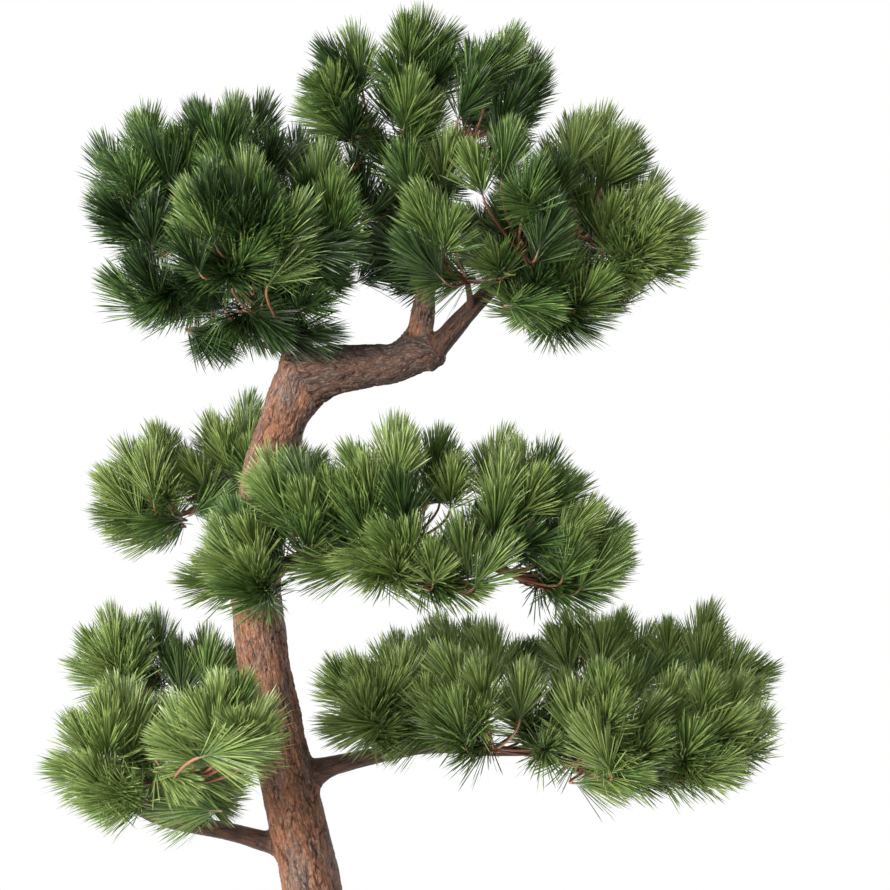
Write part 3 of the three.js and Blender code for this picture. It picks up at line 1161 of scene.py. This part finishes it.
def kept_in_frame(foot):
    """A tuft's foot, moved in where its side needles would stand out of the frame's box."""
    low, high = (np.array(corner) for corner in CAD_BOX)
    return np.append(np.clip(foot[:2], low[:2] + SIDE_ROOM, high[:2] - SIDE_ROOM), foot[2])


def grow_tuft(mass, masses, dome, tip, normal, needles, random):
    """A tuft that leans the way its shelf faces there, up over the middle and outward at the rim. Its
    needle tips just reach the outside of the foliage. On an underside its foot is there instead, and
    where neither end would be inside there is no tuft."""
    middle, half = dome
    facing = unit((tip - middle) / half) * TURN_SIDEWAYS
    outward = LEAN_SURFACE * normal + LEAN_SHELF * facing + LEAN_MASS * unit(tip - mass.centre)
    axis = unit(outward + up(UPWARD) + random.normal(0, WOBBLE, 3))
    axis[2] = max(axis[2], HANGING if mass.name in OPEN_MASSES else LEVEL)
    axis = unit(axis)
    size = random.uniform(*TUFT_SIZES)
    base = kept_in_frame(tip - axis * needles.reach * size)
    if not covered(base, masses):
        base = kept_in_frame(tip - normal * FOOT_INSET)
        axis = unit(axis - normal * max(axis @ normal, 0.0) + up(UNDERSIDE_LIFT))
        if not covered(base + axis * needles.reach * size * UNDERSIDE_REACH, masses):
            return None
    # Painted light and shade: a tuft's tint steps with its shelf's and its mass's painted light, lighter
    # again as it faces up and darker as it faces down, with some spread at random.
    light = COMMON_TINT + SHELVES[mass.shelf].tint + MASS_PAINTED_LIGHT.get(mass.name, 0.0) + normal[2]
    light += random.normal(0, TINT_SPREAD)
    return Tuft(base, axis, int(np.clip(round(light), 0, TINTS - 1)), size)


def side_bough(limb, hub):
    """A side bough's line, from where it best leaves its limb to its hub, and the limb's radius there."""
    ahead = hub - limb.points
    distance = np.linalg.norm(ahead, axis=1)
    facing = (unit(ahead) * limb.tangents).sum(axis=1)
    start = int((distance * (1.25 - 0.6 * facing)).argmin())
    span = distance[start]
    line = hermite(
        limb.points[start], limb.tangents[start] * span * BOUGH_LEAVING,
        hub, (unit(ahead[start]) + up(BOUGH_RISE)) * span * BOUGH_ARRIVAL, BOUGH_STEPS,
    )
    return line, limb.radius[start]


def group_tufts(tufts, hub):
    """Sorts the tufts of a mass into small bundles that lie together."""
    bases = np.array([t.base for t in tufts])

    def gaps(place):
        return np.linalg.norm(bases - place, axis=1)

    seeds = [int(gaps(hub).argmax())]
    while len(seeds) < round(len(tufts) / BUNDLE_TUFTS):
        seeds.append(int(np.min([gaps(bases[s]) for s in seeds], axis=0).argmax()))
    owner = np.argmin([gaps(bases[s]) for s in seeds], axis=0)
    groups = [[t for t, o in zip(tufts, owner) if o == k] for k in range(len(seeds))]
    return [group for group in groups if group]


def bundle_wires(group, hub, settings, random):
    """Coated wires that leave the end of a side bough side by side and part towards their tufts, and
    the tuft stems."""
    wires = []
    middle = np.mean([t.base - t.axis * ARRIVAL for t in group], axis=0)
    along = unit(middle - hub - up(WIRE_SAG))
    across = unit(np.cross(along, (0.3, 0.2, 1.0)))
    other = np.cross(along, across)
    radius, thin = settings.wires.wire_radius, settings.wires.stem_radius
    for k, tuft in enumerate(group):
        turn = 2 * math.pi * (k + random.random() * 0.5) / max(len(group), 2)
        shift = (across * math.cos(turn) + other * math.sin(turn)) * settings.wires.bundle
        span = np.linalg.norm(tuft.base - hub)
        path = hermite(
            hub + shift - along * HUB_OVERLAP, along * span, tuft.base,
            tuft.axis * min(span, 2 * ARRIVAL), max(6, round(span / LINE_STEP)),
        )
        taper = radius * np.linspace(*WIRE_TAPER, len(path))
        wires.append(Wire(path, taper, int(random.integers(0, COAT_TINTS))))
        stem = settings.needles.stem * tuft.size
        path = np.array([tuft.base + tuft.axis * stem * s for s in (-0.1, 0.5, 1.0)])
        wires.append(Wire(path, np.array([thin, thin * 0.9, thin * 0.4]), STEM_TINT))
    return wires


def hub_of(mass, limb):
    """Where the side bough of a mass ends: low in it and towards its limb."""
    nearest = limb.points[np.linalg.norm(limb.points - mass.centre, axis=1).argmin()]
    half = np.ptp(mass.triangles.reshape(-1, 3)[:, 2]) / 2
    return mass.centre + (nearest - mass.centre) * HUB_BACK - up(HUB_DROP * half)


def grow(settings):
    """The whole growth, worked out afresh from the seed: tufts and wires for each shelf."""
    random = np.random.default_rng(settings.needles.seed)
    limbs, masses = read_limbs(), read_masses()
    domes = shelf_domes(masses)
    grown = [[] for _ in masses]
    for index, tip, normal in tuft_tips(masses, limbs, settings.needles.spacing, random):
        mass = masses[index]
        tuft = grow_tuft(mass, masses, domes[mass.shelf], tip, normal, settings.needles, random)
        if tuft:
            grown[index].append(tuft)
    shelves = {name: ([], []) for name in SHELVES}
    for mass, tufts in zip(masses, grown):
        if not tufts:
            continue
        limb = limbs[MASS_LIMB.get(mass.name, SHELVES[mass.shelf].limb)]
        line, thickness = side_bough(limb, hub_of(mass, limb))
        thick = min(settings.wires.side_bough, thickness * 0.7)
        wires = [Wire(line, np.linspace(thick, thick * 0.6, len(line)), WOOD_TINT)]
        for group in group_tufts(tufts, line[-1]):
            wires += bundle_wires(group, line[-1], settings, random)
        shelves[mass.shelf][0].extend(tufts)
        shelves[mass.shelf][1].extend(wires)
    return shelves


# ------------------------------------------------------------
# Wires and needles as meshes


def wire_tree(finishes):
    """Geometry Nodes: sweeps a round section along each line, as thick as the line's own radius."""
    tree, given = geometry_tree("Coated wires", WIRE_INPUTS)
    curve = node(tree, "GeometryNodeMeshToCurve", {"Mesh": given["Geometry"]})
    profile = node(
        tree, "GeometryNodeCurvePrimitiveCircle", {"Resolution": given["Sides"], "Radius": 1.0}
    )
    thick = times(tree, attribute(tree, "radius"), given["Thickness"])
    swept = node(
        tree, "GeometryNodeCurveToMesh",
        {"Curve": curve, "Profile Curve": profile, "Scale": thick, "Fill Caps": True},
    )
    shape = node(tree, "GeometryNodeSetShadeSmooth", {"Geometry": swept})
    close_tree(tree, with_finishes(tree, shape, finishes, attribute(tree, "tint", "INT")))
    return tree


def needle_shape(tree, given, bend):
    """One pointed blade along +Z, widest at its middle and bent by a share of its length."""
    grid = node(
        tree, "GeometryNodeMeshGrid", {"Size X": 1.0, "Size Y": 1.0, "Vertices X": 2, "Vertices Y": 4}
    )
    place = add_node(tree, "ShaderNodeSeparateXYZ", {0: node(tree, "GeometryNodeInputPosition")})
    row = plus(tree, result(place, "Y"), 0.5)
    rise = mapped(tree, row, *NEEDLE_ROWS, curve="LINEAR")
    inner = maths(tree, "GREATER_THAN", times(tree, row, minus(tree, 1.0, row)), 0.1)
    x = times(tree, result(place, "X"), given["Width"], inner)
    lean = times(tree, rise, rise, times(tree, given["Length"], bend))
    bent = node(
        tree, "GeometryNodeSetPosition",
        {"Geometry": marked(tree, grid, "rise", rise),
         "Position": combined(tree, x, lean, times(tree, rise, given["Length"]))},
    )
    pointed = node(tree, "GeometryNodeMergeByDistance", {"Geometry": bent, "Distance": 0.0001})
    return node(tree, "GeometryNodeGeometryToInstance", {"Geometry": pointed})


def needle_rotation(tree, given, stem_turn):
    """Turns a needle out from its stem, wide at the stem's foot and closing towards its tip."""
    seed = given["Seed"]
    index = node(tree, "GeometryNodeInputIndex")
    azimuth = plus(tree, times(tree, index, GOLDEN_TURN), random_number(tree, -0.5, 0.5, seed))
    along = maths(tree, "POWER", attribute(tree, "along"), NEEDLE_CLOSING)
    narrowing = times(tree, along, minus(tree, given["Tip angle"], given["Foot angle"]))
    uneven = random_number(tree, -0.12, 0.12, plus(tree, seed, 1))
    tilt = plus(tree, given["Foot angle"], narrowing, uneven)
    roll = random_number(tree, 0.0, 2 * math.pi, plus(tree, seed, 5))
    rotation = turned(tree, stem_turn, (0.0, 0.0, 1.0), azimuth)
    rotation = turned(tree, rotation, (0.0, 1.0, 0.0), tilt)
    return turned(tree, rotation, (0.0, 0.0, 1.0), roll)


def needle_tint(tree, rise):
    """A face's material number: its needle's tint, a step darker at the foot as painted shade in the tuft's
    core, and on most a step lighter at the tip, partly the needles' own yellowish tips and partly painted
    highlight.
    """
    foot = maths(tree, "LESS_THAN", rise, SHADED_FOOT)
    pale = maths(tree, "LESS_THAN", attribute(tree, "pale"), PALE_TIP_SHARE)
    tip = times(tree, maths(tree, "GREATER_THAN", rise, PALE_TIP), pale)
    tint = minus(tree, plus(tree, attribute(tree, "tint", "INT"), tip), foot)
    return maths(tree, "MAXIMUM", tint, 0.0)


def needle_tree(finishes, inputs):
    """Geometry Nodes: binds needles round each stem, and lets them sag."""
    tree, given = geometry_tree("Needle tufts", inputs)
    seed = given["Seed"]
    curve = node(tree, "GeometryNodeMeshToCurve", {"Mesh": given["Geometry"]})
    beads = node(tree, "GeometryNodeResampleCurve", {"Curve": curve, "Count": given["Needles"]})
    beads = marked(tree, beads, "along", node(tree, "GeometryNodeSplineParameter", key="Factor"))
    points = add_node(tree, "GeometryNodeCurveToPoints", {"Curve": beads}, mode="EVALUATED")
    shapes = add_node(tree, "GeometryNodeJoinGeometry")
    for bend in NEEDLE_BENDS:
        tree.links.new(needle_shape(tree, given, bend), shapes.inputs[0])
    pick = node(
        tree, "FunctionNodeRandomValue",
        {"Min_002": 0, "Max_002": len(NEEDLE_BENDS) - 1, "Seed": plus(tree, seed, 2)}, "Value_002",
        data_type="INT",
    )
    long = times(tree, attribute(tree, "size"), random_number(tree, 0.86, 1.08, plus(tree, seed, 3)))
    spread = random_number(tree, -1.1, 1.1, plus(tree, seed, 6))
    shade = maths(tree, "ROUND", plus(tree, attribute(tree, "tint", "INT"), spread))
    shade = maths(tree, "MINIMUM", maths(tree, "MAXIMUM", shade, 0.0), TINTS - 1.0)
    dealt = marked(tree, result(points), "tint", shade, "INT")
    dealt = marked(tree, dealt, "pale", random_number(tree, 0.0, 1.0, plus(tree, seed, 4)))
    placed = node(
        tree, "GeometryNodeInstanceOnPoints",
        {"Points": dealt, "Instance": result(shapes), "Pick Instance": True, "Instance Index": pick,
         "Rotation": needle_rotation(tree, given, result(points, "Rotation")),
         "Scale": combined(tree, 1.0, 1.0, long)},
    )
    rise = attribute(tree, "rise")
    shape = with_finishes(tree, placed, finishes, needle_tint(tree, rise))
    sag = times(tree, maths(tree, "POWER", rise, 1.6), given["Droop"])
    down = combined(tree, 0.0, 0.0, times(tree, sag, -1.0))
    close_tree(tree, node(tree, "GeometryNodeSetPosition", {"Geometry": shape, "Offset": down}))
    return tree


def needle_finishes(needles):
    """Moulded polyethylene needles, satin: five greens dealt out by tuft, lighter where the light falls and
    darker in the shade as painted light and shade, with some spread at random, and a pale tip for the
    lightest, which set the tufts off from one another."""
    tints = {"deep": needles.deep, "forest": needles.forest, "leaf": needles.leaf,
             "fresh": needles.fresh, "olive": needles.olive, "pale_tip": needles.tip}
    return [plain_material(f"needle_plastic_{name}", tint, 0.42) for name, tint in tints.items()]


def wire_finishes(wires):
    """Plastic-coated wire in three pinkish browns, painted side boughs and grey-green tuft stems. They
    give the warm thin lines between the tufts."""
    tints = {"light": wires.coat_light, "mid": wires.coat_mid, "dark": wires.coat_dark}
    finishes = [plain_material(f"wire_coating_{name}", tint, 0.42) for name, tint in tints.items()]
    finishes.append(plain_material("side_bough_paint", wires.wood, 0.6))
    finishes.append(plain_material("tuft_stem_plastic", wires.stem, 0.55))
    return finishes


def build_wires(settings):
    """One piece of side boughs, wires and stems for each shelf."""
    tree = wire_tree(wire_finishes(settings.wires))
    for shelf, (_, wires) in grow(settings).items():
        counts = [len(w.points) for w in wires]
        starts = np.cumsum([0] + counts)
        edges = [(a + i, a + i + 1) for a, count in zip(starts, counts) for i in range(count - 1)]
        piece = new_piece(f"{shelf}_wires", np.vstack([w.points for w in wires]), edges)
        store(piece.data, "radius", np.concatenate([w.radii for w in wires]))
        store(piece.data, "tint", np.repeat([w.tint for w in wires], counts), "INT")
        settle(piece, tree, WIRE_INPUTS)
        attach(piece, BODY)


def build_needles(settings):
    """One piece of needles for each shelf, in place of the shelf's masses."""
    needles = settings.needles
    values = {
        "Needles": needles.count, "Length": needles.needle, "Width": needles.width,
        "Foot angle": needles.foot_angle, "Tip angle": needles.tip_angle,
        "Droop": needles.droop, "Seed": 0,
    }
    tree = needle_tree(needle_finishes(needles), values)
    for number, (shelf, (tufts, _)) in enumerate(grow(settings).items()):
        feet = np.array([t.base for t in tufts])
        tips = feet + np.array([t.axis * needles.stem * t.size for t in tufts])
        vertices = np.stack([feet, tips], axis=1).reshape(-1, 3)
        edges = [(2 * i, 2 * i + 1) for i in range(len(tufts))]
        piece = new_piece(f"{shelf}_needles", vertices, edges)
        store(piece.data, "tint", np.repeat([t.tint for t in tufts], 2), "INT")
        store(piece.data, "size", np.repeat([t.size for t in tufts], 2))
        settle(piece, tree, {**values, "Seed": number * SEED_STEP})
        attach(piece, BODY)
        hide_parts(*[m for m in frame["nodes"] if m.startswith(shelf + "_")])


# ------------------------------------------------------------
# Stage


def area_light(name, place, target, size, power):
    """A square soft light that faces a target."""
    light = bpy.data.lights.new(name, "AREA")
    light.size = size
    light.energy = power
    lamp = bpy.data.objects.new(name, light)
    lamp.location = place
    lamp.rotation_euler = (Vector(target) - Vector(place)).to_track_quat("-Z", "Y").to_euler()
    bpy.context.scene.collection.objects.link(lamp)


def build_stage(settings):
    """A white backdrop, a pale round floor, soft lights and the camera."""
    stage = settings.stage
    scene = bpy.context.scene
    world = bpy.data.worlds.new("backdrop")
    world.use_nodes = True
    tree = world.node_tree
    tree.nodes.clear()
    ray = node(tree, "ShaderNodeLightPath", key="Is Camera Ray")
    power = plus(tree, stage.sky, times(tree, ray, 1.0 - stage.sky))
    background = node(
        tree, "ShaderNodeBackground", {"Color": (1.0, 1.0, 1.0, 1.0), "Strength": power}
    )
    add_node(tree, "ShaderNodeOutputWorld", {"Surface": background})
    scene.world = world
    scene.view_settings.view_transform = "Standard"

    rim = [(FLOOR_RADIUS * math.cos(a), FLOOR_RADIUS * math.sin(a), -FLOOR_DROP)
           for a in np.linspace(0, 2 * math.pi, FLOOR_SIDES, endpoint=False)]
    floor = new_piece("floor", rim, faces=[tuple(range(FLOOR_SIDES))])
    floor.data.materials.append(plain_material("pale_floor", stage.floor, 0.9))
    for name, (place, target, size) in LIGHTS.items():
        area_light(name, place, target, size, getattr(stage, name))

    camera = bpy.data.cameras.new("camera")
    camera.lens = stage.lens
    camera.sensor_width = 36.0
    view = bpy.data.objects.new("camera", camera)
    view.location = (stage.aside, -stage.distance, stage.height)
    view.rotation_euler = (math.radians(90), 0.0, 0.0)
    scene.collection.objects.link(view)
    scene.camera = view


# ------------------------------------------------------------
# Operators, panel and registration


class PINE_OT_bark(bpy.types.Operator):
    """Builds the bark mesh of the trunk and boughs"""

    bl_idname = "pine.bark"
    bl_label = "Trunk and boughs"

    def execute(self, context):
        build_bark(context.scene.pine)
        return {"FINISHED"}


class PINE_OT_wires(bpy.types.Operator):
    """Builds the side boughs, coated wires and tuft stems of every shelf"""

    bl_idname = "pine.wires"
    bl_label = "Wires and stems"

    def execute(self, context):
        build_wires(context.scene.pine)
        return {"FINISHED"}


class PINE_OT_needles(bpy.types.Operator):
    """Builds the needles of every shelf"""

    bl_idname = "pine.needles"
    bl_label = "Needles"

    def execute(self, context):
        build_needles(context.scene.pine)
        return {"FINISHED"}


class PINE_OT_stage(bpy.types.Operator):
    """Builds the floor, the lights and the camera"""

    bl_idname = "pine.stage"
    bl_label = "Stage"

    def execute(self, context):
        build_stage(context.scene.pine)
        return {"FINISHED"}


class PINE_PT_panel(bpy.types.Panel):
    """Lists the pieces of the pine"""

    bl_idname = "PINE_PT_panel"
    bl_label = "Cloud-pruned pine"
    bl_space_type = "VIEW_3D"
    bl_region_type = "UI"
    bl_category = "Pine"

    def draw(self, context):
        for operator in OPERATORS:
            self.layout.operator(operator.bl_idname)
        for group in ("bark", "wires", "needles", "stage"):
            box = self.layout.box()
            box.label(text=group.capitalize())
            owner = getattr(context.scene.pine, group)
            for name in owner.__annotations__:
                box.prop(owner, name)


OPERATORS = (PINE_OT_stage, PINE_OT_bark, PINE_OT_wires, PINE_OT_needles)
CLASSES = (
    PINE_PG_bark, PINE_PG_wires, PINE_PG_needles, PINE_PG_stage, PINE_PG_settings,
    *OPERATORS, PINE_PT_panel,
)


def register():
    """Registers the classes and the settings."""
    for kind in CLASSES:
        bpy.utils.register_class(kind)
    bpy.types.Scene.pine = bpy.props.PointerProperty(type=PINE_PG_settings)


def unregister():
    """Removes the settings and the classes."""
    del bpy.types.Scene.pine
    for kind in reversed(CLASSES):
        bpy.utils.unregister_class(kind)


def main():
    """Builds the stage and every piece in order."""
    register()
    bpy.ops.pine.stage()
    bpy.ops.pine.bark()
    bpy.ops.pine.wires()
    bpy.ops.pine.needles()


if __name__ == "__main__":
    main()
